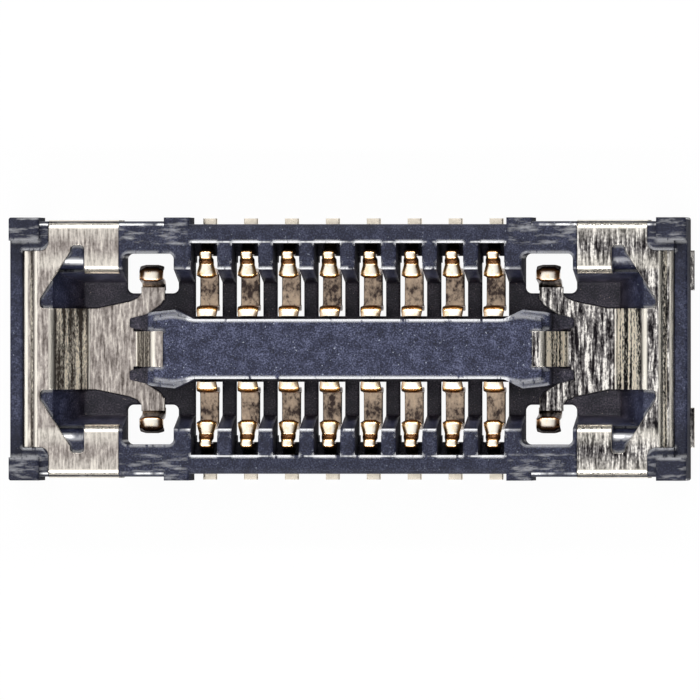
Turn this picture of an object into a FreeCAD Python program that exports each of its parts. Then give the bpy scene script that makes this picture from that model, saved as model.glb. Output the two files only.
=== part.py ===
import FreeCAD, Part
import Sketcher
import os
import re

# Board-to-flex receptacle with eight contacts a row and a formed power contact at each end.
# Millimetres. X runs along the rows, Y across them, Z up from the solder plane.
# Origin: middle of the connector on the solder plane.

SIZES = {
    # Rows
    "contacts_per_row": 8,
    "pitch": 0.35,
    "fit_gap": 0.005,
    # Signal contact: one strip, from the solder tail to the tip beside the island
    "contact_metal": 0.05,
    "foot_cut": 0.05,
    "tip_gap": 0.016,
    "arm_gap": 0.051,
    "arm_lean": 0.01,
    "arm_bend_height": 0.31,
    "arm_height": 0.39,
    "span_height": 0.04,
    "span_length": 0.385,
    "bump_lean": 0.06,
    "bump_height": 0.37,
    "crest_run": 0.075,
    "crest_length": 0.037,
    "crest_top": 0.505,
    "tail_out": 0.053,
    "tail_width": 0.12,
    "crest_width": 0.09,
    "bump_width": 0.145,
    "arm_width": 0.18,
    "arm_corner": 0.035,
    # Housing across
    "island_half": 0.254,
    "head_half": 0.285,
    "slot_depth": 0.05,
    "slot_width": 0.224,
    "window_start": 0.28,
    "window_width": 0.23,
    "ledge_reach": 0.067,
    "rib_reach": 0.224,
    "foot_reach": 0.112,
    "middle_wall": 0.16,
    "end_swell": 0.025,
    "boss_swell": 0.032,
    # Housing up
    "stand_off": 0.03,
    "floor_top": 0.08,
    "wall_top": 0.55,
    "island_top": 0.55,
    "post_top": 0.60,
    "ledge_top": 0.22,
    "edge_round": 0.045,
    "prong_round": 0.02,
    "post_round": 0.02,
    # Housing along, each from the middle of the last contact
    "boss_start": 0.13,
    "boss_length": 0.213,
    "head_start": 0.095,
    "head_length": 0.16,
    "prong_reach": 0.675,
    "prong_taper": 0.10,
    "prong_inner": 0.164,
    "prong_outer": 0.262,
    "shelf_half": 0.335,
    "shelf_end": 0.45,
    "shelf_full": 0.26,
    "prong_top": 0.44,
    "end_wall": 0.08,
    "post_length": 0.256,
    "post_width": 0.197,
    "step_length": 0.334,
    "step_width": 0.28,
    "step_round": 0.07,
    # End contact: sheet, then lengths along its spine from the cap outwards
    "sheet": 0.06,
    "sheet_bend": 0.03,
    "ramp_bend": 0.04,
    "flange_bend": 0.02,
    "cap_start": 0.35,
    "cap_length": 0.08,
    "riser_run": 0.13,
    "plate_length": 0.515,
    "ramp_run": 0.24,
    "cover_length": 0.105,
    "joggle_run": 0.03,
    "flange_length": 0.075,
    "tab_out": 0.03,
    "cap_top": 0.56,
    "cover_top": 0.54,
    "flange_top": 0.46,
    "resin_lap": 0.035,
    "bend_lap": 0.025,
    # End contact across
    "cap_half": 0.151,
    "ramp_half": 0.345,
    "shoulder_half": 0.405,
    "shoulder_place": 0.675,
    "leg_start": 0.50,
    "skirt_proud": 0.01,
    "lip_cover": 0.024,
    "lip_height": 0.10,
    "lip_length": 0.295,
    "lip_setback": 0.05,
    "relief_reach": 1.403,
    "relief_tip": 0.43,
    "relief_top": 0.83,
    "relief_nub": 0.885,
    "nub_length": 0.12,
    "nub_round": 0.035,
    # Spring finger of the end contact and the window it works in
    "finger_start": 0.378,
    "finger_width": 0.20,
    "finger_foot": 0.615,
    "finger_run": 0.09,
    "finger_height": 0.36,
    "finger_gap": 0.119,
    "notch_place": 0.415,
    "notch_half": 0.375,
    "notch_reach": 0.645,
    "notch_tip": 0.16,
    "power_start": 0.475,
    "power_end": 0.813,
    "power_round": 0.05,
    "dimple_radius": 0.06,
    "dimple_rise": 0.04,
    "dimple_height": 0.25,
}

# Places worked out from the sizes. Lengths along an end are counted from its last contact.
ROW = "(contacts_per_row - 1) * pitch / 2"
CAP_END = "cap_start + cap_length"
RISER_FOOT = f"{CAP_END} + riser_run"
RAMP_FOOT = f"{RISER_FOOT} + plate_length"
RAMP_HEAD = f"{RAMP_FOOT} + ramp_run"
JOGGLE_HEAD = f"{RAMP_HEAD} + cover_length"
JOGGLE_FOOT = f"{JOGGLE_HEAD} + joggle_run"
LEG_BACK = f"{JOGGLE_FOOT} + flange_length"
END_FACE = f"{LEG_BACK} + sheet + end_wall"
POST_FACE = f"{END_FACE} - post_length"
STEP_FACE = f"{END_FACE} - step_length"
LIP_END = f"{RAMP_FOOT} - lip_setback"
WING_START = f"{LIP_END} - lip_length"
FINGER_END = "finger_start + finger_width"

# Places across the connector, counted from its middle line.
ARM_BACK = "island_half + arm_gap"
SPAN_END = f"{ARM_BACK} + span_length"
CREST_END = f"{SPAN_END} + crest_run"
RISER_FACE = f"{CREST_END} + crest_length"
RISER_BACK = f"{RISER_FACE} + contact_metal"
TAIL_START = f"{RISER_BACK} + foot_cut"
SLOT_BACK = f"{RISER_BACK} + slot_depth"
MIDDLE_SIDE = f"{SLOT_BACK} + middle_wall"
END_SIDE = f"{MIDDLE_SIDE} + end_swell"
BOSS_SIDE = f"{END_SIDE} + boss_swell"
RIB_FACE = f"{SLOT_BACK} - rib_reach"
FLOOR_SIDE = f"{RIB_FACE} - foot_reach"
SKIRT_BACK = f"{END_SIDE} + skirt_proud - sheet"
LIP_BACK = f"{RIB_FACE} + lip_cover"
STEP_SIDE = f"{BOSS_SIDE} - step_width"

doc = FreeCAD.newDocument("receptacle")
sheet = doc.addObject("Spreadsheet::Sheet", "Dims")
for line, (alias, number) in enumerate(SIZES.items(), start=1):
    sheet.set(f"A{line}", alias)
    sheet.set(f"B{line}", str(number))
    sheet.setAlias(f"B{line}", alias)
doc.recompute()


def tied(size):
    # Point each size name in an expression at its cell in the sheet.
    def cell(match):
        return f"Dims.{match.group()}" if match.group() in SIZES else match.group()
    return re.sub(r"[a-z_]+", cell, str(size))


def value(size):
    number = sheet.evalExpression(tied(size))
    return float(getattr(number, "Value", number))


def bind(thing, **sizes):
    for name, size in sizes.items():
        thing.setExpression(name.replace("__", "."), tied(size))


def hold(sketch, kind, where, size):
    place = sketch.addConstraint(Sketcher.Constraint(kind, *where, value(size)))
    sketch.setExpression(f"Constraints[{place}]", tied(size))


def plot(sketch, corners, closed=True):
    # One outline. A corner is (across, up) or (across, up, radius).
    first = sketch.GeometryCount
    count = len(corners)
    lines = count if closed else count - 1
    points = [FreeCAD.Vector(value(corner[0]), value(corner[1]), 0) for corner in corners]
    for i in range(lines):
        sketch.addGeometry(Part.LineSegment(points[i], points[(i + 1) % count]), False)
    for i in range(0 if closed else 1, lines):
        ends = (first + (i - 1) % lines, 2, first + i, 1)
        sketch.addConstraint(Sketcher.Constraint("Coincident", *ends))
    for i, corner in enumerate(corners):
        place = (first + i, 1) if i < lines else (first + i - 1, 2)
        if len(corner) > 2:
            arc = sketch.GeometryCount
            sketch.fillet(first + (i - 1) % lines, 2, value(corner[2]), True, True)
            hold(sketch, "Radius", (arc,), corner[2])
            place = (arc + 1, 1)
        for kind, axis, size in (("DistanceX", -2, corner[0]), ("DistanceY", -1, corner[1])):
            if value(size) == 0:
                sketch.addConstraint(Sketcher.Constraint("PointOnObject", *place, axis))
            else:
                hold(sketch, kind, (-1, 1, *place), size)


def flipped(corner, across=1, up=1):
    signs = [f"-({size})" if sign < 0 else size for size, sign in zip(corner, (across, up))]
    return (*signs, *corner[2:])


def two_fold(corners):
    # Close an open outline with its mirror image below the X axis.
    return corners + [flipped(corner, up=-1) for corner in reversed(corners)]


def four_fold(corners):
    # Close a quarter outline, given from the X axis round to the Y axis.
    half = corners + [flipped(corner, across=-1) for corner in reversed(corners)]
    return two_fold(half)


def rectangle(left, right, low, high, radius=None):
    corners = [(left, low), (right, low), (right, high), (left, high)]
    return [(*corner, radius) for corner in corners] if radius else corners


# Part features for the metal

PLANES = {
    "XY": FreeCAD.Rotation(),
    "YZ": FreeCAD.Rotation(FreeCAD.Vector(0, 1, 0), FreeCAD.Vector(0, 0, 1), FreeCAD.Vector(1, 0, 0)),
    "XZ": FreeCAD.Rotation(FreeCAD.Vector(1, 0, 0), FreeCAD.Vector(0, 0, 1), FreeCAD.Vector(0, -1, 0)),
}


def extruded(name, face, direction, length, both_ways=False):
    solid = doc.addObject("Part::Extrusion", name)
    solid.Base = face
    solid.DirMode = "Custom"
    solid.Dir = FreeCAD.Vector(*direction)
    solid.Symmetric = both_ways
    solid.Solid = True
    bind(solid, LengthFwd=length)
    return solid


def prism(name, corners, bottom, height):
    # An outline in plan, drawn up from a level.
    outline = doc.addObject("Sketcher::SketchObject", f"{name}_outline")
    plot(outline, corners)
    bind(outline, Placement__Base__z=bottom)
    return extruded(name, outline, (0, 0, 1), height)


def strip(name, plane, path, metal, direction, length, both_ways=False, start=0):
    # A bent strip of sheet: its underside follows the path, its metal lies to the right of it.
    line = doc.addObject("Sketcher::SketchObject", f"{name}_path")
    line.Placement = FreeCAD.Placement(FreeCAD.Vector(), PLANES[plane])
    plot(line, path, closed=False)
    if start:
        bind(line, Placement__Base__x=start)
    section = doc.addObject("Part::Offset2D", f"{name}_section")
    section.Source = line
    section.Mode = "Skin"
    section.Join = "Arc"
    section.Fill = True
    bind(section, Value=metal)
    return extruded(name, section, direction, length, both_ways)


def common(name, solid, outline):
    shared = doc.addObject("Part::Common", name)
    shared.Base = solid
    shared.Tool = outline
    return shared


def fused(name, solids):
    whole = doc.addObject("Part::MultiFuse", name)
    whole.Shapes = solids
    return whole


def cut(name, solid, tool):
    rest = doc.addObject("Part::Cut", name)
    rest.Base = solid
    rest.Tool = tool
    return rest


def placed(part, label, along, turned=False):
    # A finished piece takes its own name and its place along the connector.
    angle = 180 if turned else 0
    part.Placement = FreeCAD.Placement(FreeCAD.Vector(), FreeCAD.Rotation(angle, 0, 0))
    bind(part, Placement__Base__x=along)
    part.Label = label
    return part


def make_signal_contacts():
    # One leaf: tail, riser, crest, bump, span in the window, and the arm beside the island.
    path = [
        (f"{MIDDLE_SIDE} + tail_out", 0),
        (f"{RISER_FACE} + foot_cut", 0),
        (RISER_FACE, "foot_cut"),
        (RISER_FACE, "crest_top - contact_metal"),
        (CREST_END, "crest_top - contact_metal"),
        (f"{SPAN_END} - bump_lean", "bump_height"),
        (SPAN_END, "span_height + foot_cut"),
        (f"{SPAN_END} - foot_cut", "span_height"),
        (f"{ARM_BACK} + foot_cut", "span_height"),
        (ARM_BACK, "span_height + foot_cut"),
        (f"{ARM_BACK} + arm_lean", "arm_bend_height"),
        ("island_half + tip_gap", "arm_height"),
    ]
    leaf = strip("leaf", "YZ", path, "contact_metal", (1, 0, 0), "2 * arm_width", both_ways=True)
    arm_front = f"{ARM_BACK} + arm_lean + contact_metal"
    right_edge = [
        ("arm_width / 2", 0),
        ("arm_width / 2", f"{arm_front} - arm_corner"),
        ("bump_width / 2", arm_front),
        ("bump_width / 2", f"{CREST_END} - contact_metal"),
        ("crest_width / 2", f"{CREST_END} - contact_metal / 2"),
        ("crest_width / 2", TAIL_START),
        ("tail_width / 2", TAIL_START),
        ("tail_width / 2", BOSS_SIDE),
    ]
    outline = right_edge + [flipped(corner, across=-1) for corner in reversed(right_edge)]
    blank = prism("leaf_plan", outline, 0, "2 * crest_top")
    leaf = common("leaf_form", leaf, blank)
    nodes = []
    for row, turned in (("north", False), ("south", True)):
        for place in range(1, round(SIZES["contacts_per_row"]) + 1):
            name = f"signal_contact_{row}_{place}"
            contact = doc.addObject("Part::Compound", name)
            contact.Links = [leaf]
            along = f"({place} - (contacts_per_row + 1) / 2) * pitch"
            nodes.append(placed(contact, name, along, turned))
    return nodes


def make_spine():
    # Cap on the island, riser, floor plate, ramp, cover, joggle, flange, leg and solder tab.
    outer_bend = "sheet_bend + sheet"
    path = [
        (f"{END_FACE} + tab_out", 0),
        (f"{LEG_BACK} + sheet", 0),
        (LEG_BACK, "sheet"),
        (LEG_BACK, "flange_top - sheet", "flange_bend"),
        (JOGGLE_FOOT, "flange_top - sheet"),
        (JOGGLE_HEAD, "cover_top - sheet"),
        (RAMP_HEAD, "cover_top - sheet", "ramp_bend"),
        (RAMP_FOOT, "stand_off", "ramp_bend + sheet"),
        (RISER_FOOT, "stand_off", outer_bend),
        (CAP_END, "cap_top - sheet", "sheet_bend"),
        ("cap_start", "cap_top - sheet"),
    ]
    width = f"2 * ({END_SIDE})"
    spine = strip("spine", "XZ", path, "-sheet", (0, 1, 0), width, both_ways=True)
    flat = f"{RAMP_FOOT} - 2 * sheet"
    edge = [
        (f"{END_FACE} + sheet", STEP_SIDE),
        (STEP_FACE, STEP_SIDE),
        (STEP_FACE, "ramp_half"),
        (flat, "ramp_half"),
        (flat, "cap_half"),
        ("cap_start - sheet", "cap_half"),
    ]
    spine = common("spine_form", spine, prism("spine_plan", two_fold(edge), 0, "2 * wall_top"))
    plate_edge = [
        (f"{flat} + fit_gap", "ramp_half"),
        ("shoulder_place", "shoulder_half"),
        (f"{FINGER_END} + sheet_bend", "shoulder_half + sheet_bend"),
        (FINGER_END, "power_start"),
        ("finger_start", "power_start"),
        ("finger_start", "notch_half + sheet"),
        ("notch_place", "notch_half"),
        ("notch_reach", "notch_tip + sheet", "sheet_bend"),
        ("notch_reach", "notch_tip"),
    ]
    plate = prism("plate", two_fold(plate_edge), "stand_off", "sheet")
    gap = rectangle(LEG_BACK, f"{END_FACE} + 2 * tab_out", "-leg_start", "leg_start")
    leg_height = "flange_top - 2 * sheet"
    return [cut("spine_legs", spine, prism("leg_gap", gap, 0, leg_height)), plate]


def make_wing():
    # Outer skirt and shoulder of one side, with the lip turned down into the end pocket.
    path = [
        (SKIRT_BACK, 0),
        (SKIRT_BACK, "cover_top - sheet", "sheet_bend"),
        ("relief_tip - sheet", "cover_top - sheet"),
    ]
    length = f"{STEP_FACE} + step_round - ({WING_START})"
    wing = strip("wing", "YZ", path, "sheet", (1, 0, 0), length, start=WING_START)
    lip_start = f"{LIP_BACK} + sheet_bend"
    open_side = rectangle(f"{WING_START} - sheet", LIP_END, "relief_tip - 2 * sheet", lip_start)
    wing = cut("wing_form", wing, prism("wing_trim", open_side, 0, "2 * wall_top"))
    lip_path = [
        (lip_start, "cover_top - sheet"),
        (LIP_BACK, "cover_top - sheet", "sheet_bend - fit_gap"),
        (LIP_BACK, "cover_top - sheet - lip_height"),
    ]
    lip = strip("lip", "YZ", lip_path, "sheet", (1, 0, 0), "lip_length", start=WING_START)
    return [wing, lip]


def make_finger():
    # Spring finger with the dimple that touches the mating power contact.
    path = [
        ("finger_foot + finger_run", "finger_height"),
        ("finger_foot", "stand_off", "sheet_bend + sheet"),
        ("power_start - sheet", "stand_off"),
    ]
    finger = strip("finger", "YZ", path, "sheet", (1, 0, 0), "finger_width", start="finger_start")
    dimple = doc.addObject("Part::Cylinder", "dimple")
    lean = "atan(finger_run / (finger_height - stand_off))"
    bind(
        dimple,
        Radius="dimple_radius",
        Height="dimple_rise + sheet / 2",
        Placement__Base__x="finger_start + finger_width / 2",
        Placement__Base__y=f"finger_foot + (dimple_height - stand_off) * tan({lean}) - sheet / 2 * cos({lean})",
        Placement__Base__z=f"dimple_height + sheet / 2 * sin({lean})",
        Placement__Rotation__Axis__x="1",
        Placement__Rotation__Axis__z="0",
        Placement__Rotation__Angle=f"90 deg - {lean}",
    )
    return [finger, dimple]


def make_relief():
    # Opening between wing and ramp that leaves both free to be bent.
    edge = [
        (LIP_END, "ramp_half"),
        ("relief_reach", "ramp_half", "nub_round"),
        ("relief_reach", "relief_tip", "nub_round / 2"),
        (f"{LIP_END} + nub_length", "relief_top", "nub_round"),
        (f"{LIP_END} + nub_length", "relief_nub", "nub_round"),
        (LIP_END, "relief_nub", "nub_round"),
    ]
    return prism("relief", edge, 0, "2 * wall_top")


def make_corner():
    # Room for the rounded step of the housing beside each post.
    far = f"{END_FACE} + 2 * tab_out"
    edge = [
        (STEP_FACE, STEP_SIDE, "step_round"),
        (far, STEP_SIDE),
        (far, f"2 * ({END_SIDE})"),
        (STEP_FACE, f"2 * ({END_SIDE})"),
    ]
    return prism("corner", edge, 0, "2 * wall_top")


def mirrored(name, solid):
    other = doc.addObject("Part::Mirroring", name)
    other.Source = solid
    other.Normal = FreeCAD.Vector(0, 1, 0)
    return other


def make_end_contacts():
    side = fused("side", make_wing() + make_finger())
    formed = fused("formed", make_spine() + [side, mirrored("other_side", side)])
    room = fused("room", [make_relief(), make_corner()])
    rooms = fused("rooms", [room, mirrored("other_room", room)])
    left = placed(cut("end_contact_left", formed, rooms), "end_contact_left", f"-({ROW})", True)
    right = placed(cut("end_contact_right", formed, rooms), "end_contact_right", ROW)
    return [left, right]


# PartDesign features for the moulding

def plane_of(body, role):
    return next(plane for plane in body.Origin.OriginFeatures if plane.Role == role)


def sketch_on(body, name, outlines, level, role="XY_Plane"):
    sketch = body.newObject("Sketcher::SketchObject", name)
    sketch.AttachmentSupport = (plane_of(body, role), [""])
    sketch.MapMode = "FlatFace"
    bind(sketch, AttachmentOffset__Base__z=level)
    for outline in outlines:
        plot(sketch, outline)
    return sketch


def pad(body, name, outlines, level, height):
    feature = body.newObject("PartDesign::Pad", name)
    feature.Profile = sketch_on(body, f"{name}_sketch", outlines, level)
    bind(feature, Length=height)
    return feature


def pocket(body, name, outlines, level, upwards=True):
    # Cut away everything above the level, or below it.
    feature = body.newObject("PartDesign::Pocket", name)
    feature.Profile = sketch_on(body, f"{name}_sketch", outlines, level)
    feature.Type = "Length"
    feature.Reversed = upwards
    feature.Refine = False
    bind(feature, Length="2 * post_top")
    return feature


def rounded(body, name, radius, chosen):
    doc.recompute()
    base = body.Tip
    edges = [f"Edge{i}" for i, edge in enumerate(base.Shape.Edges, start=1) if chosen(edge)]
    feature = body.newObject("PartDesign::Fillet", name)
    feature.Base = (base, edges)
    bind(feature, Radius=radius)
    return feature


def repeated(body, name, feature):
    # The same cut at every contact: mirrored to the other row, then repeated at the pitch.
    whole = body.newObject("PartDesign::MultiTransform", f"{name}_rows")
    whole.Originals = [feature]
    other_row = body.newObject("PartDesign::Mirrored", f"{name}_mirror")
    other_row.MirrorPlane = (plane_of(body, "XZ_Plane"), [""])
    along = body.newObject("PartDesign::LinearPattern", f"{name}_pitch")
    along.Direction = (plane_of(body, "X_Axis"), [""])
    bind(along, Length="(contacts_per_row - 1) * pitch", Occurrences="contacts_per_row")
    whole.Transformations = [other_row, along]
    whole.Refine = False
    body.Tip = whole


def both_ends(outline):
    # The same outline at the four corners of the housing.
    turns = ((1, 1), (-1, 1), (-1, -1), (1, -1))
    return [[flipped(corner, *turn) for corner in outline] for turn in turns]


def make_housing(end_contacts):
    body = doc.addObject("PartDesign::Body", "moulding")
    end = f"{ROW} + {END_FACE}"
    boss_end = f"{ROW} + boss_start + boss_length"
    boss = f"{ROW} + boss_start"
    post = f"{ROW} + {POST_FACE}"
    outline = four_fold([
        (end, BOSS_SIDE, "post_round"),
        (post, BOSS_SIDE),
        (post, END_SIDE),
        (boss_end, END_SIDE),
        (boss_end, BOSS_SIDE),
        (boss, BOSS_SIDE),
        (boss, MIDDLE_SIDE),
    ])
    pad(body, "block", [outline], "stand_off", "wall_top - stand_off")
    rounded(body, "top_edges", "edge_round", is_long_top_edge)
    cavity(body)
    island(body)
    seats(body)
    low = f"{BOSS_SIDE} - post_width"
    corner = [(post, low), (end, low), (end, BOSS_SIDE, "post_round"), (post, BOSS_SIDE)]
    pad(body, "posts", both_ends(corner), "floor_top", "post_top - floor_top")
    windows(body)
    doc.recompute()
    metal = doc.addObject("Part::Compound", "inserts")
    metal.Links = end_contacts
    housing = cut("housing", body, metal)
    housing.Label = "housing"
    return housing


def is_long_top_edge(edge):
    box = edge.BoundBox
    long_enough = box.XLength > value("post_length + boss_length")
    return long_enough and abs(box.ZMin - value("wall_top")) < 1e-6 and box.YLength < 1e-6


def cavity(body):
    # Hopper between the walls: its end slope lies half a sheet behind the ramps.
    slope = "ramp_run / (cover_top - sheet - stand_off)"
    foot = f"{ROW} + {RAMP_FOOT} - resin_lap + (floor_top - stand_off) * {slope}"
    head = f"{ROW} + {RAMP_FOOT} - resin_lap + (wall_top - stand_off) * {slope}"
    floor = sketch_on(body, "cavity_floor", [four_fold([(foot, FLOOR_SIDE)])], "floor_top")
    mouth = sketch_on(body, "cavity_mouth", [four_fold([(head, RIB_FACE)])], "wall_top")
    hopper = body.newObject("PartDesign::SubtractiveLoft", "cavity")
    hopper.Profile = floor
    hopper.Sections = [mouth]
    hopper.Ruled = True
    body.Tip = hopper


def island(body):
    head = f"{ROW} + head_start"
    full = f"{ROW} + head_start + head_length"
    outline = four_fold([
        (f"{ROW} + {CAP_END}", "prong_outer"),
        (full, "head_half", "head_half"),
        (head, "island_half", "head_half"),
    ])
    pad(body, "island", [outline], "floor_top", "island_top - floor_top")
    prong = [
        (head, "prong_inner"),
        (f"{ROW} + prong_reach - prong_taper", "prong_inner"),
        (f"{ROW} + prong_reach", "prong_inner + prong_round", "prong_round"),
        (f"{ROW} + prong_reach", "prong_outer", "prong_round"),
        (f"{ROW} + shelf_end", "shelf_half - prong_round"),
        (f"{ROW} + shelf_full", "shelf_half"),
        (head, "island_half"),
    ]
    pad(body, "prongs", both_ends(prong), "floor_top", "prong_top - floor_top")
    # The island's end leans back under the riser of the end contact.
    foot = f"{ROW} + {RISER_FOOT} + resin_lap"
    head = f"{ROW} + {CAP_END} + resin_lap"
    sketch = body.newObject("Sketcher::SketchObject", "core_sketch")
    sketch.AttachmentSupport = (plane_of(body, "XZ_Plane"), [""])
    sketch.MapMode = "FlatFace"
    core = [(foot, "stand_off"), (head, "cap_top - sheet / 2")]
    plot(sketch, core + [flipped(corner, across=-1) for corner in reversed(core)])
    feature = body.newObject("PartDesign::Pad", "core")
    feature.Profile = sketch
    feature.SideType = "Symmetric"
    bind(feature, Length="2 * prong_inner")


def seats(body):
    # Ledges half a sheet below the face of the metal that is moulded in over them.
    start = f"{ROW} + {WING_START}"
    step = f"{ROW} + {STEP_FACE}"
    drop = f"{ROW} + {JOGGLE_FOOT} - sheet / 3"
    band = f"{ROW} + {LEG_BACK} + sheet - bend_lap"
    end = f"{ROW} + {END_FACE} + end_wall"
    outside = f"2 * ({END_SIDE})"
    post_face = f"{BOSS_SIDE} - post_width"
    cover = [(start, outside), (step, outside), (step, STEP_SIDE, "step_round"), (drop, STEP_SIDE)]
    flange = [(drop, STEP_SIDE), (band, STEP_SIDE)]
    edge = [(band, post_face), (end, post_face)]
    levels = (
        ("cover_seat", cover, "cover_top - sheet / 2"),
        ("flange_seat", flange, "flange_top - sheet / 2"),
        ("end_band", edge, "flange_top"),
    )
    for name, half, level in levels:
        one_end = two_fold(half)
        pocket(body, name, [one_end, [flipped(corner, across=-1) for corner in one_end]], level)


def windows(body):
    # Windows round the spring fingers, then the windows, slots and tail channels of the rows.
    power = rectangle(
        f"{ROW} + finger_start - finger_gap",
        f"{ROW} + {FINGER_END} + finger_gap",
        "power_start",
        "power_end",
        "power_round",
    )
    pocket(body, "power_windows", both_ends(power), 0)
    window = [("window_width / 2", "window_start"), ("window_width / 2", f"{RISER_FACE} - ledge_reach")]
    slot = [("slot_width / 2", FLOOR_SIDE), ("slot_width / 2", SLOT_BACK)]
    throat = "crest_width / 2 + fit_gap"
    passage = [(throat, f"{RISER_FACE} - fit_gap"), (throat, TAIL_START)]
    tail = "tail_width / 2 + fit_gap"
    channel = [(tail, TAIL_START), (tail, f"2 * ({END_SIDE})")]
    cuts = (
        ("window", window, 0, True),
        ("slot", slot, "ledge_top", True),
        ("passage", passage, 0, True),
        ("channel", channel, "contact_metal + fit_gap", False),
    )
    for name, half, level, upwards in cuts:
        outline = half + [flipped(corner, across=-1) for corner in reversed(half)]
        first = [(f"{across} - {ROW}", along) for across, along in outline]
        repeated(body, name, pocket(body, name, [first], level, upwards))


def check(nodes):
    for thing in doc.Objects:
        if {"Invalid", "Error"} & set(thing.State):
            raise RuntimeError(f"{thing.Name} failed: {thing.State}")
    for node in nodes:
        if node.Shape.isNull() or not node.Shape.isValid():
            raise RuntimeError(f"{node.Label} has no valid shape")


end_contacts = make_end_contacts()
nodes = [make_housing(end_contacts)] + end_contacts + make_signal_contacts()
doc.recompute()
check(nodes)
os.makedirs("parts", exist_ok=True)
for node in nodes:
    node.Shape.exportStep(f"parts/{node.Label}.step")
    box = node.Shape.BoundBox
    print(f"{node.Label}: {len(node.Shape.Solids)} solid, {node.Shape.Volume:.5f} mm3, "
          f"{box.XLength:.3f} x {box.YLength:.3f} x {box.ZLength:.3f} mm")
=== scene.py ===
from math import cos, radians, sin

import bmesh
import bpy
import numpy as np
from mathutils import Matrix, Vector


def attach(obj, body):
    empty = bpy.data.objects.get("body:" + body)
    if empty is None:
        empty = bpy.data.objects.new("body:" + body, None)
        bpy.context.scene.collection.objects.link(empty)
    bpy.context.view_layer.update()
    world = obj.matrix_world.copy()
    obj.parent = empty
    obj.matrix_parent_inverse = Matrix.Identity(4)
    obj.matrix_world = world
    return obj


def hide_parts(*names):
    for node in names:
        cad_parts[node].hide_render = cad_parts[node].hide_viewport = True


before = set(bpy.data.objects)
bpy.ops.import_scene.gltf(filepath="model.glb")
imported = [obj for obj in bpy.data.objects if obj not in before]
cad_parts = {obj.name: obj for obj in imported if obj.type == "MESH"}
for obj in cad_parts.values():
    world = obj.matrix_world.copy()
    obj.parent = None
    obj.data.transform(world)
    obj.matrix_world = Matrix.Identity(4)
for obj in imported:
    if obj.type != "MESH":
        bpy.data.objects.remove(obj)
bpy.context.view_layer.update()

mm = 0.001
scene = bpy.context.scene
scene.view_settings.view_transform = "Standard"

# Places shared by the pieces, in millimetres
layout = {
    "pitch": 0.35,
    "perRow": 8,
    "reach": 1.225,       # from the middle to the last contact of a row
}

# How edges are told apart, joined and rounded in the shading
shading = {
    "join": 1e-8,         # loose corners this close are one, in metres
    "sharp": 28.0,        # degrees: a steeper edge of a moulded or formed piece stays crisp
    "leafSharp": 62.0,    # the same on a leaf or finger
    "level": 0.9999,      # a face this square to an axis stays flat
    "broad": 0.012,       # and so does one with this area, square mm
    "bevelSamples": 6,
    "facesUp": (0.90, 0.97),   # Z of the normal, from not level to level
}


def inMetres(values):
    return tuple(value * mm for value in values)


# Camera, light and floor

cameraSetup = {
    "target": (-0.004, -0.0085, 0.25),
    "distance": 200.0,
    "lean": 4.98,         # degrees from straight overhead, towards +X
    "lens": 1208.0,
    "clip": (1.0, 2000.0),
}


def addCamera(setup):
    data = bpy.data.cameras.new("camera")
    camera = bpy.data.objects.new("camera", data)
    scene.collection.objects.link(camera)
    target = Vector(setup["target"]) * mm
    lean = radians(setup["lean"])
    camera.location = target + Vector((sin(lean), 0, cos(lean))) * setup["distance"] * mm
    camera.rotation_euler = (0, lean, 0)
    data.lens = setup["lens"]
    data.clip_start, data.clip_end = inMetres(setup["clip"])
    scene.camera = camera


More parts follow.
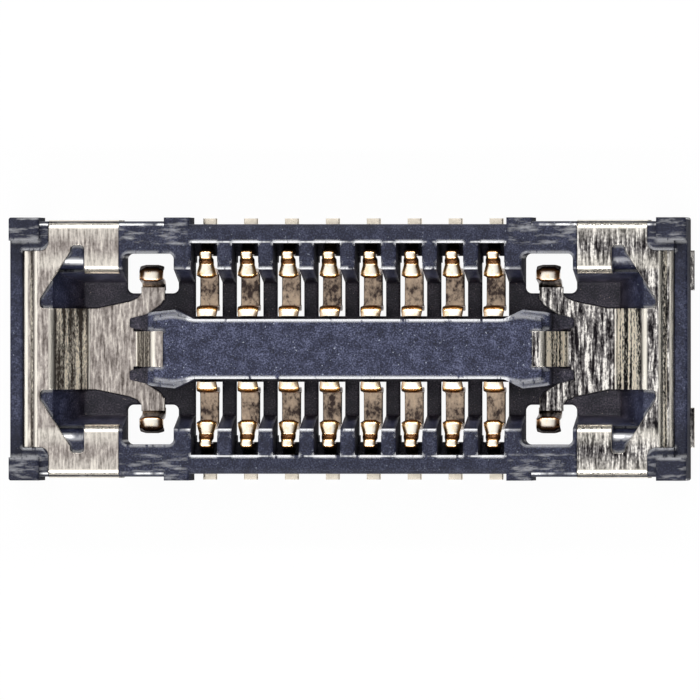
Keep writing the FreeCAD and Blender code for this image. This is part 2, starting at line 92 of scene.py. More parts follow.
class Nodes:
    # Short spelling for building a node tree.
    def __init__(self, tree):
        self.tree = tree
        tree.nodes.clear()

    def add(self, kind, settings=None, **inputs):
        node = self.tree.nodes.new(kind)
        for name, value in (settings or {}).items():
            setattr(node, name, value)
        for name, value in inputs.items():
            self.put(node, name, value)
        return node

    def put(self, node, name, value):
        # in0, in1 and so on stand for sockets by number
        numbered = name.startswith("in") and name[2:].isdigit()
        socket = node.inputs[int(name[2:])] if numbered else node.inputs[name]
        if isinstance(value, bpy.types.NodeSocket):
            self.tree.links.new(value, socket)
        else:
            socket.default_value = value

    def math(self, kind, first, second=0.0):
        return self.add("ShaderNodeMath", {"operation": kind}, in0=first, in1=second).outputs[0]

    def product(self, first, *others):
        for other in others:
            first = self.math("MULTIPLY", first, other)
        return first

    def weighed(self, first, *others):
        # Each is a value and its share.
        total = self.math("MULTIPLY", *first)
        for other in others:
            total = self.math("ADD", total, self.math("MULTIPLY", *other))
        return total

    def size(self, value):
        return self.math("ABSOLUTE", value)

    def parts(self, vector):
        return self.add("ShaderNodeSeparateXYZ", None, Vector=vector).outputs

    def bevel(self, radius):
        # The normal as if edges were rounded, radius in mm
        node = self.add("ShaderNodeBevel", {"samples": shading["bevelSamples"]}, Radius=radius * mm)
        return node.outputs[0]

    def bump(self, height, distance, strength):
        node = self.add("ShaderNodeBump", None, Height=height, Distance=distance * mm)
        node.inputs["Strength"].default_value = strength
        return node

    def remapped(self, value, low, high, first, last):
        # value from low..high to first..last, held at both ends
        node = self.add("ShaderNodeMapRange", None, Value=value)
        for name, number in (("From Min", low), ("From Max", high), ("To Min", first), ("To Max", last)):
            node.inputs[name].default_value = number
        return node.outputs[0]

    def rising(self, value, edges, last=1.0):
        return self.remapped(value, *edges, 0.0, last)

    def falling(self, value, edges, last=0.0):
        return self.remapped(value, *edges, 1.0, last)

    def blended(self, factor, first, second):
        node = self.add("ShaderNodeMix", {"data_type": "RGBA"}, in0=factor)
        for name, colour in (("in6", first), ("in7", second)):
            self.put(node, name, (*colour, 1) if isinstance(colour, tuple) else colour)
        return node.outputs[2]

    def ramp(self, factor, stops):
        node = self.add("ShaderNodeValToRGB", None, Fac=factor)
        ramp = node.color_ramp
        while len(ramp.elements) < len(stops):
            ramp.elements.new(0.5)
        for element, (place, colour) in zip(ramp.elements, stops):
            element.position = place
            element.color = (*colour, 1) if len(colour) == 3 else colour
        return node.outputs["Color"]

    def coordinates(self, scale):
        place = self.add("ShaderNodeTexCoord").outputs["Object"]
        mapping = self.add("ShaderNodeMapping", None, Vector=place)
        mapping.inputs["Scale"].default_value = scale
        return mapping.outputs["Vector"]

    def noise(self, scale, detail=3.0, roughness=0.5):
        # scale is in features per millimetre along X, Y and Z
        vector = self.coordinates(tuple(value / mm for value in scale))
        node = self.add("ShaderNodeTexNoise", None, Vector=vector, Scale=1.0)
        node.inputs["Detail"].default_value = detail
        node.inputs["Roughness"].default_value = roughness
        return node.outputs["Fac"]


def grey(value):
    return (value, value, value)


skySetup = {
    "level": 0.88,
    "overhead": (1.16, 1.17, 1.20),
    "low": (0.10, 0.10, 0.11),
    "rise": (0.46, 0.70),     # height between low and overhead, 1 is straight up
    "sideBright": 1.1,        # towards -X
    "sideDim": 0.20,
    "sideDark": 0.05,         # towards +X
    "turn": (0.27, 0.42),     # from dim to plain, 0 is +X and 1 is -X
}


def addSky(setup):
    world = bpy.data.worlds.new("sky")
    scene.world = world
    world.use_nodes = True
    n = Nodes(world.node_tree)
    direction = n.add("ShaderNodeTexCoord").outputs["Generated"]
    parts = n.parts(direction)
    # A broad soft light overhead, and little of it near the horizon
    height = n.ramp(parts["Z"], [
        (0.0, setup["low"]),
        (setup["rise"][0], setup["low"]),
        (setup["rise"][1], setup["overhead"]),
        (1.0, setup["overhead"]),
    ])
    side = n.math("MULTIPLY_ADD", parts["X"], -0.5)
    side.node.inputs[2].default_value = 0.5
    across = n.ramp(side, [
        (0.0, grey(setup["sideDark"])),
        (setup["turn"][0], grey(setup["sideDim"])),
        (setup["turn"][1], grey(1.0)),
        (1.0, grey(setup["sideBright"])),
    ])
    mixed = n.add("ShaderNodeMix", {"data_type": "RGBA", "blend_type": "MULTIPLY"})
    n.put(mixed, "in0", 1.0)
    n.put(mixed, "in6", height)
    n.put(mixed, "in7", across)
    background = n.add("ShaderNodeBackground", None, Color=mixed.outputs[2], Strength=setup["level"])
    n.add("ShaderNodeOutputWorld", None, Surface=background.outputs[0])


lampSetup = [
    # name, place in mm, length and height in mm, watts
    ("leftBox", (-60, 0, 45), (50, 50), 0.003),
    ("northStrip", (0, 62, 52), (130, 6), 0.042),
    ("southStrip", (0, -62, 52), (130, 6), 0.042),
]


def addLamps(setup):
    for name, place, size, power in setup:
        data = bpy.data.lights.new(name, "AREA")
        data.shape = "RECTANGLE"
        data.size = size[0] * mm
        data.size_y = size[1] * mm
        data.energy = power
        lamp = bpy.data.objects.new(name, data)
        lamp.location = Vector(place) * mm
        lamp.rotation_euler = (-Vector(place)).to_track_quat("-Z", "Y").to_euler()
        scene.collection.objects.link(lamp)


floorSetup = {
    "size": 600.0,
    "colour": (0.9, 0.9, 0.905, 1),
    "glow": 0.955,        # share of plain white that camera and mirror rays see
}


def addFloor(setup):
    half = setup["size"] * mm / 2
    mesh = bpy.data.meshes.new("floor")
    corners = [(-half, -half, 0), (half, -half, 0), (half, half, 0), (-half, half, 0)]
    mesh.from_pydata(corners, [], [(0, 1, 2, 3)])
    floor = bpy.data.objects.new("floor", mesh)
    scene.collection.objects.link(floor)
    material = bpy.data.materials.new("paleFloor")
    material.use_nodes = True
    n = Nodes(material.node_tree)
    path = n.add("ShaderNodeLightPath")
    seen = n.math("MAXIMUM", path.outputs["Is Camera Ray"], path.outputs["Is Glossy Ray"])
    seen = n.math("MAXIMUM", seen, path.outputs["Is Transmission Ray"])
    share = n.math("MULTIPLY", seen, setup["glow"])
    matte = n.add("ShaderNodeBsdfDiffuse", None, Color=setup["colour"]).outputs[0]
    glow = n.add("ShaderNodeEmission", None, Color=(1, 1, 1, 1), Strength=1.0).outputs[0]
    mixed = n.add("ShaderNodeMixShader", None, in0=share, in1=matte, in2=glow)
    n.add("ShaderNodeOutputMaterial", None, Surface=mixed.outputs[0])
    mesh.materials.append(material)


# Materials

resin = {
    "dark": (0.004, 0.005, 0.016),
    "middle": (0.024, 0.028, 0.062),
    "light": (0.118, 0.130, 0.215),
    "tones": (0.38, 0.50, 0.635),     # where in the mottle the three tones lie
    "grain": (75, 75, 75),            # noises are in features per mm
    "cloud": (9, 9, 9),
    "grainShare": 0.72,
    "fleck": (0.34, 0.37, 0.45),
    "flecks": (48, 48, 48),
    "fleckFrom": (0.73, 0.77),
    "rough": (0.30, 0.55),
    "roughOver": (0.3, 0.7),          # the grain between which it runs
    "upright": (0.10, 0.30),          # Z of the normal, from upright to not
    "uprightRough": 0.95,
    "specular": 0.34,
    "bump": 0.006,                    # mm
    "bumpStrength": 1.0,
    # Shade, as a share of the island's
    "wallShade": 0.45,
    "wallFrom": (0.60, 0.66),         # mm from the middle line
    "endShade": 0.55,
    "endFrom": (2.42, 2.50),          # mm from the middle
    # Painted shade for the low places: a warm dark tone that they are multiplied by
    "deep": (0.72, 0.54, 0.42),
    "deepBelow": (0.10, 0.42),        # mm above the board
}

# Painted highlights on the resin, glint lines along its edges and sheen on its posts: places in mm, noises
# in features per mm
paintedGlints = {
    "glint": (1.0, 1.0, 1.0),
    # The edge value is how far a painted glint reaches from an edge
    "edge": 0.044,                    # how far a worn edge reaches
    "turned": (0.06, 0.15),           # tilt of the rounded edge along Y
    "above": (0.30, 0.315),           # edges lower than this stay dark
    "inside": (0.955, 0.970),         # and so do the outermost
    "breaks": (11, 4, 4),
    "broken": (0.36, 0.43),
    "farFrom": (1.36, 1.3872),        # past the last slots
    "farGlint": 0.30,
    # The seam values paint a highlight along a fine ridge beside each row of slots
    "seam": 0.911,                    # a fine worn line along each row of slots
    "seamHalf": (0.003, 0.010),
    "seamEnd": (1.3464, 1.36),
    "seamAbove": (0.50, 0.52),
    "ridges": (6, 2, 2),
    "ridged": (0.44, 0.56),
    "seamMost": 0.8,
    "shineTilt": (0.10, 0.30, 0.45, 0.70),
    "shineFrom": (0.58, 0.60),
    "patches": (7, 3, 3),
    "patchy": (0.42, 0.58, 0.05, 0.75),
    # The next four paint faint sheen streaks, a painted highlight, on the posts and outer walls
    "sheenScale": (5, 22, 22),
    "sheenStreaks": (0.50, 0.70),
    "sheenFrom": (0.88, 0.90),
    "sheenMost": 0.30,
}


def wornPlaces(n, setup, bevel, geometry, place):
    # 1 where a highlight is painted on the resin: broken glint lines along edges and slots, the shine of
    # rounded edges past the last slots, and faint sheen streaks on the posts and outer walls.
    level = n.rising(n.parts(geometry["True Normal"])["Z"], shading["facesUp"])
    away = n.size(place["X"])
    sideways = n.size(place["Y"])
    far = inMetres(setup["farFrom"])
    edges = n.product(
        n.rising(n.size(n.parts(bevel)["Y"]), setup["turned"]),
        level,
        n.rising(place["Z"], inMetres(setup["above"])),
        n.rising(n.noise(setup["breaks"], detail=4, roughness=0.65), setup["broken"]),
        n.falling(sideways, inMetres(setup["inside"])),
        n.falling(away, far, setup["farGlint"]),
    )
    fromSeam = n.size(n.math("SUBTRACT", sideways, setup["seam"] * mm))
    seam = n.product(
        n.falling(fromSeam, inMetres(setup["seamHalf"])),
        n.falling(away, inMetres(setup["seamEnd"])),
        n.rising(place["Z"], inMetres(setup["seamAbove"])),
        n.rising(n.noise(setup["ridges"], detail=5, roughness=0.7), setup["ridged"], setup["seamMost"]),
    )
    tilt = n.size(n.parts(geometry["Normal"])["Y"])
    shine = n.product(
        n.rising(tilt, setup["shineTilt"][:2]),
        n.falling(tilt, setup["shineTilt"][2:]),
        n.rising(away, far),
        n.rising(sideways, inMetres(setup["shineFrom"])),
        n.remapped(n.noise(setup["patches"], detail=3), *setup["patchy"]),
    )
    sheenStreaks = n.product(
        n.rising(n.noise(setup["sheenScale"], detail=4, roughness=0.65), setup["sheenStreaks"], setup["sheenMost"]),
        n.rising(away, far),
        n.rising(sideways, inMetres(setup["sheenFrom"])),
        level,
    )
    worn = n.math("MAXIMUM", edges, seam)
    worn = n.math("MAXIMUM", worn, shine)
    return n.math("MAXIMUM", worn, sheenStreaks)


def resinMaterial(setup):
    material = bpy.data.materials.new("darkResin")
    material.use_nodes = True
    n = Nodes(material.node_tree)
    bevel = n.bevel(paintedGlints["edge"])
    geometry = n.add("ShaderNodeNewGeometry").outputs
    place = n.parts(n.add("ShaderNodeTexCoord").outputs["Object"])
    grain = n.noise(setup["grain"], detail=4, roughness=0.6)
    mottle = n.weighed((grain, setup["grainShare"]), (n.noise(setup["cloud"]), 1 - setup["grainShare"]))
    colour = n.ramp(mottle, list(zip(setup["tones"], (setup["dark"], setup["middle"], setup["light"]))))
    flecks = n.rising(n.noise(setup["flecks"], detail=1), setup["fleckFrom"])
    colour = n.blended(flecks, colour, setup["fleck"])
    # The walls and ends are darker than the island, and the low places are darker and warmer still, a
    # painted shade.
    wall = n.falling(n.size(place["Y"]), inMetres(setup["wallFrom"]), setup["wallShade"])
    end = n.falling(n.size(place["X"]), inMetres(setup["endFrom"]), setup["endShade"])
    shade = n.math("MULTIPLY", wall, end)
    colour = n.blended(shade, setup["dark"], colour)
    # Painted shade: below a height the resin is multiplied darker and warmer
    deep = n.add("ShaderNodeMix", {"data_type": "RGBA", "blend_type": "MULTIPLY"})
    n.put(deep, "in0", n.falling(place["Z"], inMetres(setup["deepBelow"])))
    n.put(deep, "in6", colour)
    n.put(deep, "in7", (*setup["deep"], 1))
    # Painted highlights: the colour turns white where the mask is 1
    worn = wornPlaces(n, paintedGlints, bevel, geometry, place)
    colour = n.blended(worn, deep.outputs[2], paintedGlints["glint"])
    # Upright walls are matt, or they would mirror the floor at a glance.
    facing = n.size(n.parts(geometry["True Normal"])["Z"])
    upright = n.remapped(facing, *setup["upright"], setup["uprightRough"], 0.0)
    rough = n.math("MAXIMUM", n.remapped(grain, *setup["roughOver"], *setup["rough"]), upright)
    bump = n.bump(mottle, setup["bump"], setup["bumpStrength"])
    n.put(bump, "Normal", bevel)
    # Where the highlight is painted, the resin turns metallic and keeps the face's own normal, so it
    # mirrors the light overhead: a painted reflection that shines like the face beside it.
    glintNormal = n.add("ShaderNodeMix", {"data_type": "VECTOR"}, in0=worn, in4=bump.outputs[0])
    n.put(glintNormal, "in5", geometry["Normal"])
    shader = n.add("ShaderNodeBsdfPrincipled", None, Roughness=rough, Metallic=worn)
    n.put(shader, "Normal", glintNormal.outputs[1])
    n.put(shader, "Base Color", colour)
    shader.inputs["Specular IOR Level"].default_value = setup["specular"]
    n.add("ShaderNodeOutputMaterial", None, Surface=shader.outputs[0])
    return material


# Rolled sheet of the end contacts, the same at both ends: the left one has softer painted light in its
# streaks, the right one harder painted light and shade, for how light falls on that end
leftSheetSofterLight = {
    "name": "rolledSheet",
    "dark": (0.10, 0.082, 0.070),
    "middle": (0.37, 0.325, 0.295),
    "light": (0.80, 0.73, 0.64),
    # The next colour is the painted highlight on the bends and cut edges
    "bendHighlight": (0.98, 0.92, 0.80),
    "tones": (0.37, 0.50, 0.63),
    "streaks": (46, 6, 46),
    "bars": (0.46, 0.59),
    "bump": 0.005,
    "rough": (0.42, 0.22),
}
rightSheetHarderLight = {
    "name": "rightSheetHarderLight",
    "dark": (0.012, 0.010, 0.012),
    "middle": (0.20, 0.185, 0.180),
    "light": (0.98, 0.93, 0.85),
    # The next colour is the painted highlight on the bends and cut edges
    "bendHighlight": (0.96, 0.90, 0.78),
    "tones": (0.440, 0.512, 0.582),
    "streaks": (37, 4.2, 37),
    "bars": (0.45, 0.53),
    "bump": 0.008,
    "rough": (0.40, 0.18),
}

# What both sheets share
rolling = {
    "shares": (0.60, 0.18, 0.22),     # of the streaks, the bands and the pits
    "bandsWider": 4,
    "pits": (52, 34, 52),
    "bars": (15, 0.9, 15),
    "barShare": 0.62,
    "bumpStrength": 0.7,
    "bendTilt": (0.06, 0.30),
    "bendMost": 0.85,
    "upright": (0.88, 0.98),
    "uprightShare": 0.86,
    "ridgeTilt": (0.06, 0.20, 0.45, 0.65),
    "steepTilt": (0.60, 0.80),
    "steepRough": 0.85,
    "cutEdge": 0.012,                 # mm
    "cutTilt": (0.80, 0.93),
}

# Painted highlight beside the bends, mm from the middle line, on what stands above a height
bendSheen = {
    "outer": (0.90, 1.05),
    "inner": (0.74, 0.84),
    "tip": (0.66, 0.70),
    "above": (0.45, 0.459),
    "most": 0.52,
    "least": 0.25,
}


def bendSheenPlaces(n, setup, place, dull):
    # A painted highlight, strongest at the outer bends and at the rim of the moat, weaker where the sheet
    # is dull
    away = n.size(place["Y"])
    most = setup["most"]
    rim = n.math("MULTIPLY", n.remapped(away, *inMetres(setup["inner"]), most, 0.0),
                 n.rising(away, inMetres(setup["tip"])))
    beside = n.math("MAXIMUM", n.rising(away, inMetres(setup["outer"]), most), rim)
    return n.product(beside, n.rising(place["Z"], inMetres(setup["above"])), dull)


def sheetMaterial(setup):
    # Rolled sheet: fine lines along Y, with dull and bright bands across them.
    material = bpy.data.materials.new(setup["name"])
    material.use_nodes = True
    n = Nodes(material.node_tree)
    geometry = n.add("ShaderNodeNewGeometry").outputs
    faced = n.parts(geometry["Normal"])
    place = n.parts(n.add("ShaderNodeTexCoord").outputs["Object"])
    lines = n.noise(setup["streaks"], detail=5, roughness=0.65)
    bands = n.noise(tuple(value / rolling["bandsWider"] for value in setup["streaks"]), detail=2)
    pits = n.noise(rolling["pits"], detail=3, roughness=0.6)
    rolled = n.weighed(*zip((lines, bands, pits), rolling["shares"]))
    low, centre, high = setup["tones"]
    colour = n.ramp(rolled, [(low, setup["dark"]), (centre, setup["middle"]), (high, setup["light"])])
    # The bends get a painted highlight, and the sheet beside them less and less.
    turn = n.size(faced["Y"])
    paintedBendHighlight = n.math("MULTIPLY", n.rising(turn, rolling["bendTilt"], rolling["bendMost"]),
                  n.falling(turn, rolling["upright"], rolling["uprightShare"]))
    lean = n.size(faced["X"])
    ridgeHighlight = n.math("MULTIPLY", n.rising(lean, rolling["ridgeTilt"][:2], rolling["bendMost"]),
                   n.falling(lean, rolling["ridgeTilt"][2:]))
    paintedBendHighlight = n.math("MAXIMUM", paintedBendHighlight, ridgeHighlight)
    dull = n.remapped(rolled, low, centre, bendSheen["least"], 1.0)
    paintedBendHighlight = n.math("MAXIMUM", paintedBendHighlight, bendSheenPlaces(n, bendSheen, place, dull))
    # Its cut edges get a painted highlight too.
    bevel = n.bevel(rolling["cutEdge"])
    cut = n.math("MULTIPLY", n.remapped(n.parts(bevel)["Z"], *rolling["cutTilt"], rolling["bendMost"], 0.0),
                 n.rising(n.parts(geometry["True Normal"])["Z"], shading["facesUp"]))
    colour = n.blended(n.math("MAXIMUM", paintedBendHighlight, cut), colour, setup["bendHighlight"])
    # The steep ramp is drawn dull and in bars, so it takes light from a wide angle.
    steep = n.rising(lean, rolling["steepTilt"])
    share = rolling["barShare"]
    bars = n.weighed((n.noise(rolling["bars"]), share), (pits, 1 - share))
    drawn = n.ramp(bars, [(setup["bars"][0], setup["dark"]), (setup["bars"][1], setup["bendHighlight"])])
    colour = n.blended(steep, colour, drawn)
    rough = n.math("MAXIMUM", n.remapped(rolled, low, high, *setup["rough"]),
                   n.math("MULTIPLY", steep, rolling["steepRough"]))
    bump = n.bump(rolled, setup["bump"], rolling["bumpStrength"])
    n.put(bump, "Normal", bevel)
    shader = n.add("ShaderNodeBsdfPrincipled", None, Roughness=rough, Normal=bump.outputs[0])
    n.put(shader, "Base Color", colour)
    shader.inputs["Metallic"].default_value = 1.0
    n.add("ShaderNodeOutputMaterial", None, Surface=shader.outputs[0])
    return material


# Plated spring metal: a cream painted highlight where it faces up, brown painted shade on its flanks, dull
# tan on the low span
plating = {
    "name": "goldPlate",
    # The first colour is the painted highlight on top; side and flank are painted shade where the face
    # turns away, golden and then brown
    "highlightCream": (1.0, 0.93, 0.80),
    "warm": (0.98, 0.78, 0.50),
    "tones": (0.36, 0.50),
    "side": (0.86, 0.46, 0.15),
    "flankShade": (0.40, 0.175, 0.060),
    "facing": (0.50, 0.84, 0.97),     # up to flank, side and cream
    "dull": (0.37, 0.28, 0.205),
    "worn": (0.045, 0.032, 0.028),
    "pale": (0.60, 0.455, 0.32),
    "dullTones": (0.40, 0.50, 0.62),
    "dullBelow": (0.20, 0.24),        # mm
    "tail": (1.0, 0.90, 0.74),
    "tailFrom": (0.95, 0.969),        # mm from the middle line
    "grain": (42, 30, 42),
    "patches": (17, 11, 17),
    "smudges": (2.4, 5.5, 2),
    "grainShare": 0.5,
    "mottleShare": 0.68,
    "span": (0.40, 0.52, 0.64),       # the smudge is darkest halfway
    "smudge": 0.07,
    "bump": 0.003,
    "bumpStrength": 0.5,
    "rough": (0.22, 0.38),
    "roughOver": (0.35, 0.65),        # the mottle between which it runs
}
# The finger noses get darker painted shade on their sides and flanks
fingerPlating = dict(plating, name="nosePlate", flankShade=(0.10, 0.045, 0.028), side=(0.62, 0.28, 0.10))


def platedMaterial(setup):
    material = bpy.data.materials.new(setup["name"])
    material.use_nodes = True
    n = Nodes(material.node_tree)
    place = n.parts(n.add("ShaderNodeTexCoord").outputs["Object"])
    away = n.size(place["Y"])
    grain = n.noise(setup["grain"], detail=4, roughness=0.66)
    share = setup["grainShare"]
    mottle = n.weighed((grain, share), (n.noise(setup["patches"]), 1 - share))
    # The plating on the span is worn off in smudges, on some contacts more than on others.
    share = setup["mottleShare"]
    smudge = n.weighed((mottle, share), (n.noise(setup["smudges"]), 1 - share))
    inner, middle, outer = inMetres(setup["span"])
    darkest = n.math("MULTIPLY", n.rising(away, (inner, middle)),
                     n.remapped(away, middle, outer, setup["smudge"], 0.0))
    smudge = n.math("SUBTRACT", smudge, darkest)
    low = n.ramp(smudge, list(zip(setup["dullTones"], (setup["worn"], setup["dull"], setup["pale"]))))
    low = n.blended(n.rising(away, inMetres(setup["tailFrom"])), low, setup["tail"])
    # Painted light by facing: a cream highlight on top, golden where it begins to turn away, brown painted
    # shade on the flanks
    upward = n.size(n.parts(n.add("ShaderNodeNewGeometry").outputs["Normal"])["Z"])
    steep, turning, level = setup["facing"]
    high = n.ramp(mottle, list(zip(setup["tones"], (setup["warm"], setup["highlightCream"]))))
    high = n.blended(n.rising(upward, (turning, level)), setup["side"], high)
    high = n.blended(n.rising(upward, (steep, turning)), setup["flankShade"], high)
    colour = n.blended(n.rising(place["Z"], inMetres(setup["dullBelow"])), low, high)
    rough = n.remapped(mottle, *setup["roughOver"], *setup["rough"])
    bump = n.bump(mottle, setup["bump"], setup["bumpStrength"])
    shader = n.add("ShaderNodeBsdfPrincipled", None, Roughness=rough, Normal=bump.outputs[0])
    n.put(shader, "Base Color", colour)
    shader.inputs["Metallic"].default_value = 1.0
    n.add("ShaderNodeOutputMaterial", None, Surface=shader.outputs[0])
    return material


# Pieces

def addPiece(name, points, faces, material, nodes=()):
    mesh = bpy.data.meshes.new(name)
    mesh.from_pydata(points.tolist(), [], faces)
    mesh.shade_smooth()
    mesh.set_sharp_from_angle(angle=radians(shading["leafSharp"]))
    piece = bpy.data.objects.new(name, mesh)
    scene.collection.objects.link(piece)
    mesh.materials.append(material)
    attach(piece, "root")
    if nodes:
        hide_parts(*nodes)


def merged(name, material, boxes):
    # The CAD solid with its loose triangles joined, so that its bends shade smoothly
    # and its flat faces stay flat. The boxes are cut away.
    form = bmesh.new()
    form.from_mesh(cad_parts[name].data)
    bmesh.ops.remove_doubles(form, verts=form.verts, dist=shading["join"])
    bmesh.ops.scale(form, vec=(1 / mm, 1 / mm, 1 / mm), verts=form.verts)
    mesh = bpy.data.meshes.new(f"{name}_smooth")
    form.to_mesh(mesh)
    form.free()
    # The loose triangles bring normals of their own, which no longer hold once joined.
    own = mesh.attributes.get("custom_normal")
    if own:
        mesh.attributes.remove(own)
    piece = bpy.data.objects.new(f"{name}_smooth", mesh)
    scene.collection.objects.link(piece)
    cutAway(piece, boxes)
    mesh = piece.data
    mesh.materials.clear()
    mesh.materials.append(material)
    places = np.empty(len(mesh.vertices) * 3)
    mesh.vertices.foreach_get("co", places)
    areas = np.empty(len(mesh.polygons))
    mesh.polygons.foreach_get("area", areas)
    facing = np.empty(len(mesh.polygons) * 3)
    mesh.polygons.foreach_get("normal", facing)
    square = np.abs(facing.reshape(-1, 3)).max(axis=1) > shading["level"]
    mesh.polygons.foreach_set("use_smooth", ~(square | (areas > shading["broad"])))
    mesh.polygons.foreach_set("material_index", np.zeros(len(mesh.polygons), dtype=np.int32))
    mesh.set_sharp_from_angle(angle=radians(shading["sharp"]))
    mesh.vertices.foreach_set("co", places * mm)
    mesh.update()
    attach(piece, "root")
    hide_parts(name)


def cutAway(piece, boxes):
    # Each box is (lowest corner, highest corner) in mm, or (outline in Y and Z, from X, to X);
    # the piece is still in mm here.
    form = bmesh.new()
    for box in boxes:
        if len(box) == 3:
            outline, first, last = box
            ring = [form.verts.new((first, across, up)) for across, up in outline]
            made = form.faces.new(ring)
            grown = bmesh.ops.extrude_face_region(form, geom=[made])["geom"]
            moved = [part for part in grown if isinstance(part, bmesh.types.BMVert)]
            bmesh.ops.translate(form, vec=(last - first, 0, 0), verts=moved)
            continue
        low, high = box
        size = np.subtract(high, low)
        made = bmesh.ops.create_cube(form, size=1.0)["verts"]
        bmesh.ops.scale(form, vec=size, verts=made)
        bmesh.ops.translate(form, vec=np.add(low, high) / 2, verts=made)
    bmesh.ops.recalc_face_normals(form, faces=form.faces)
    mesh = bpy.data.meshes.new("cutter")
    form.to_mesh(mesh)
    form.free()
    cutter = bpy.data.objects.new("cutter", mesh)
    scene.collection.objects.link(cutter)
    knife = piece.modifiers.new("cut", "BOOLEAN")
    knife.operation = "DIFFERENCE"
    knife.solver = "EXACT"
    knife.object = cutter
    knife.double_threshold = 0.0
    evaluated = piece.evaluated_get(bpy.context.evaluated_depsgraph_get())
    result = bpy.data.meshes.new_from_object(evaluated)
    piece.modifiers.clear()
    piece.data = result
    bpy.data.objects.remove(cutter)


def contactPlaces():
    # The middles of the contacts of one row, from -X to +X, in mm
    last = (layout["perRow"] - 1) / 2
    return [(place - last) * layout["pitch"] for place in range(layout["perRow"])]


# Housing: the windows reach the risers of the contacts, the prongs are low past the horns, and
# past the last slots the inner top edge of the long walls is a quarter round

housingCuts = {
    "windowHalf": 0.105,
    "windowFrom": 0.71,
    "windowTo": 0.792,
    "windowTop": 0.235,
    "hornEnd": 0.49,      # past the last contact
    "prongEnd": 0.645,
    "prongTop": 0.14,
    "prongSides": (0.156, 0.35),
    "past": 0.12,
    "over": 0.7,          # above everything
    "clear": 0.02,        # how far a cut starts outside the resin
    "mouthFace": 0.676,   # inner face of the long walls
    "mouthRound": 0.11,
    "mouthTop": 0.51,
    "mouthAlong": (1.037, 1.375),     # past the last contact
    "mouthSteps": 14,
}


def mirroredBox(low, high, alongSide, acrossSide):
    # The box with its X and Y turned to the given sides, corners sorted again.
    first = (low[0] * alongSide, low[1] * acrossSide, low[2])
    second = (high[0] * alongSide, high[1] * acrossSide, high[2])
    return np.minimum(first, second), np.maximum(first, second)


def housingBoxes(setup):
    boxes = []
    half = setup["windowHalf"]
    for middle in contactPlaces():
        for side in (1, -1):
            low = (middle - half, setup["windowFrom"], -setup["clear"])
            high = (middle + half, setup["windowTo"], setup["windowTop"])
            boxes.append(mirroredBox(low, high, 1, side))
    inner, outer = setup["prongSides"]
    for along in (1, -1):
        for side in (1, -1):
            low = (layout["reach"] + setup["hornEnd"], inner, setup["prongTop"])
            high = (layout["reach"] + setup["prongEnd"] + setup["past"], outer, setup["over"])
            boxes.append(mirroredBox(low, high, along, side))
            outline = [(across * side, up) for across, up in mouthOutline(setup)]
            ends = [along * (layout["reach"] + reach) for reach in setup["mouthAlong"]]
            boxes.append((outline, *ends))
    return boxes


def mouthOutline(setup):
    # What a quarter round takes off the wall's inner top edge: the corner less a circle's quarter
    angle = np.linspace(0, np.pi / 2, setup["mouthSteps"])
    centre = (setup["mouthFace"] + setup["mouthRound"], setup["mouthTop"] - setup["mouthRound"])
    across = centre[0] - setup["mouthRound"] * np.cos(angle)
    up = centre[1] + setup["mouthRound"] * np.sin(angle)
    over = setup["mouthTop"] + setup["clear"]
    inside = setup["mouthFace"] - setup["clear"]
    return [(centre[0], over), (inside, over), (inside, centre[1]), *zip(across, up)]


# The section of every leaf and finger
leafSection = {
    "squareness": 0.28,   # 1 is an ellipse, 0 a rectangle
    "crownDepth": 0.75,   # how much of half the metal a crown of 1 takes off at the sides
    "bendShare": 0.45,    # longest bend, as a share of the straight beside it
}

# Signal contacts: a rounded leaf swept along its profile

leaf = {
    "metal": 0.05,
    "shift": 0.006,       # towards +X, as the contacts sit in their windows
    "steps": 7,           # points round each bend
    "around": 32,         # points round the section
    # across, up, reach of the bend along each straight, width, crown of the outer face
    "profile": [
        (1.113, 0.025, 0.0, 0.120, 0.0),
        (0.877, 0.025, 0.05, 0.120, 0.0),
        (0.824, 0.075, 0.05, 0.100, 0.0),
        (0.824, 0.478, 0.030, 0.102, 0.6),
        (0.778, 0.478, 0.024, 0.108, 1.0),
        (0.738, 0.392, 0.022, 0.128, 1.4),
        (0.610, 0.376, 0.040, 0.168, 1.9),
        (0.664, 0.075, 0.050, 0.160, 0.0),
        (0.630, 0.065, 0.0, 0.162, 0.0),
        (0.380, 0.065, 0.0, 0.164, 0.0),
        (0.346, 0.075, 0.040, 0.176, 0.0),
        (0.352, 0.345, 0.034, 0.176, 0.8),
        (0.276, 0.372, 0.0, 0.160, 1.4),
    ],
}

# Spring finger of an end contact: a hooked nose with a rounded top
finger = {
    "metal": 0.05,
    "middle": 0.470,      # past the last contact
    "steps": 8,
    "around": 36,
    "profile": [
        (0.697, 0.235, 0.0, 0.205, 1.0),
        (0.680, 0.335, 0.040, 0.205, 2.2),
        (0.588, 0.350, 0.026, 0.205, 2.2),
        (0.570, 0.110, 0.040, 0.200, 0.4),
        (0.535, 0.062, 0.020, 0.200, 0.0),
        (0.500, 0.060, 0.0, 0.200, 0.0),
    ],
}


def rounded(profile, steps):
    # The profile with each corner replaced by a parabola: of t from 0 to 1, the weights of
    # start, corner and finish are (1 - t) squared, 2t(1 - t) and t squared.
    share = leafSection["bendShare"]
    t = np.linspace(0, 1, steps)[:, None]
    stations = [profile[0]]
    for before, here, after in zip(profile, profile[1:], profile[2:]):
        corner = np.array(here[:2])
        back = np.array(before[:2]) - corner
        ahead = np.array(after[:2]) - corner
        reach = min(here[2], share * np.linalg.norm(back), share * np.linalg.norm(ahead))
        if reach <= 0:
            stations.append(here)
            continue
        start = corner + back / np.linalg.norm(back) * reach
        finish = corner + ahead / np.linalg.norm(ahead) * reach
        curve = (1 - t) ** 2 * start + 2 * t * (1 - t) * corner + t ** 2 * finish
        stations.extend((*point, *here[2:]) for point in curve)
    stations.append(profile[-1])
    return stations


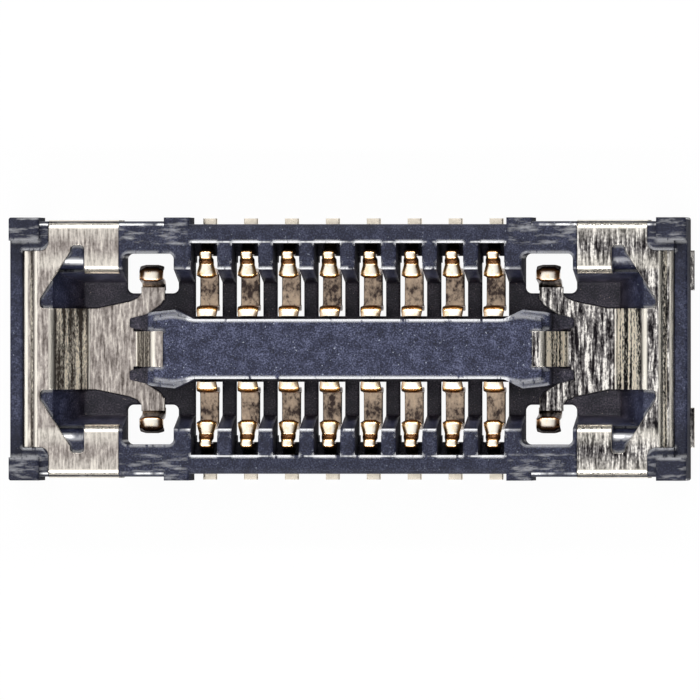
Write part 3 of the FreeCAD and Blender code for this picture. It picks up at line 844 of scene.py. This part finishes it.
def leafSurface(setup):
    # Each section is a rounded rectangle, square to the profile: the cosine and the sine of the
    # angle round it, each raised to a small power with its sign kept, times half the width and
    # half the metal. The outer face drops with the square of the way to the side, by the crown.
    stations = rounded(setup["profile"], setup["steps"])
    line = np.array([station[:2] for station in stations])
    along = np.gradient(line, axis=0)
    along /= np.linalg.norm(along, axis=1)[:, None]
    outer = np.stack([along[:, 1], -along[:, 0]], axis=1)
    widths = np.array([station[3] for station in stations])
    crowns = np.array([station[4] for station in stations])
    angle = np.linspace(0, 2 * np.pi, setup["around"], endpoint=False) + np.pi / setup["around"]
    squareness = leafSection["squareness"]
    across = np.sign(np.cos(angle)) * np.abs(np.cos(angle)) ** squareness
    through = np.sign(np.sin(angle)) * np.abs(np.sin(angle)) ** squareness
    level = through * setup["metal"] / 2
    crowned = level * (1 - crowns[:, None] * leafSection["crownDepth"] * across ** 2)
    lift = np.where(through > 0, crowned, level)
    points = np.stack([across * widths[:, None] / 2,
                       line[:, :1] + outer[:, :1] * lift,
                       line[:, 1:] + outer[:, 1:] * lift], axis=2).reshape(-1, 3)
    count = setup["around"]
    rows = np.arange(len(line) - 1)[:, None] * count
    columns = np.arange(count)
    following = (columns + 1) % count
    quads = np.stack([rows + columns, rows + following,
                      rows + count + following, rows + count + columns], axis=2).reshape(-1, 4)
    last = (len(line) - 1) * count
    caps = [columns[::-1].tolist(), (last + columns).tolist()]
    return points, quads.tolist() + caps


# Where the CAD copies make room for the new spring fingers: mm past the last contact, across, up
fingerRoom = {
    "along": (0.376, 0.580),
    "across": (0.530, 0.750),
    "up": (-0.01, 0.45),
}


def fingerBoxes(setup, along):
    boxes = []
    for side in (1, -1):
        low, high = zip(setup["along"], setup["across"], setup["up"])
        low = (layout["reach"] + low[0], *low[1:])
        high = (layout["reach"] + high[0], *high[1:])
        boxes.append(mirroredBox(low, high, along, side))
    return boxes


def addContacts(setup, material):
    points, faces = leafSurface(setup)
    for row, side in (("north", 1), ("south", -1)):
        for number, middle in enumerate(contactPlaces(), 1):
            # The south row is the north row turned half round.
            moved = points * (side, side, 1) + (middle + setup["shift"], 0, 0)
            addPiece(f"leaf_{row}_{number}", moved * mm, faces, material,
                     [f"signal_contact_{row}_{number}"])


def addFingers(setup, material):
    points, faces = leafSurface(setup)
    for end, along in (("left", -1), ("right", 1)):
        for row, side in (("north", 1), ("south", -1)):
            middle = along * (layout["reach"] + setup["middle"])
            moved = points * (side, side, 1) + (middle, 0, 0)
            addPiece(f"finger_{end}_{row}", moved * mm, faces, material)


addCamera(cameraSetup)
addSky(skySetup)
addLamps(lampSetup)
addFloor(floorSetup)
print("stage ready")

merged("housing", resinMaterial(resin), housingBoxes(housingCuts))
print("housing ready")
merged("end_contact_left", sheetMaterial(leftSheetSofterLight), fingerBoxes(fingerRoom, -1))
merged("end_contact_right", sheetMaterial(rightSheetHarderLight), fingerBoxes(fingerRoom, 1))
addFingers(finger, platedMaterial(fingerPlating))
print("end contacts ready")
addContacts(leaf, platedMaterial(plating))
print("signal contacts ready")
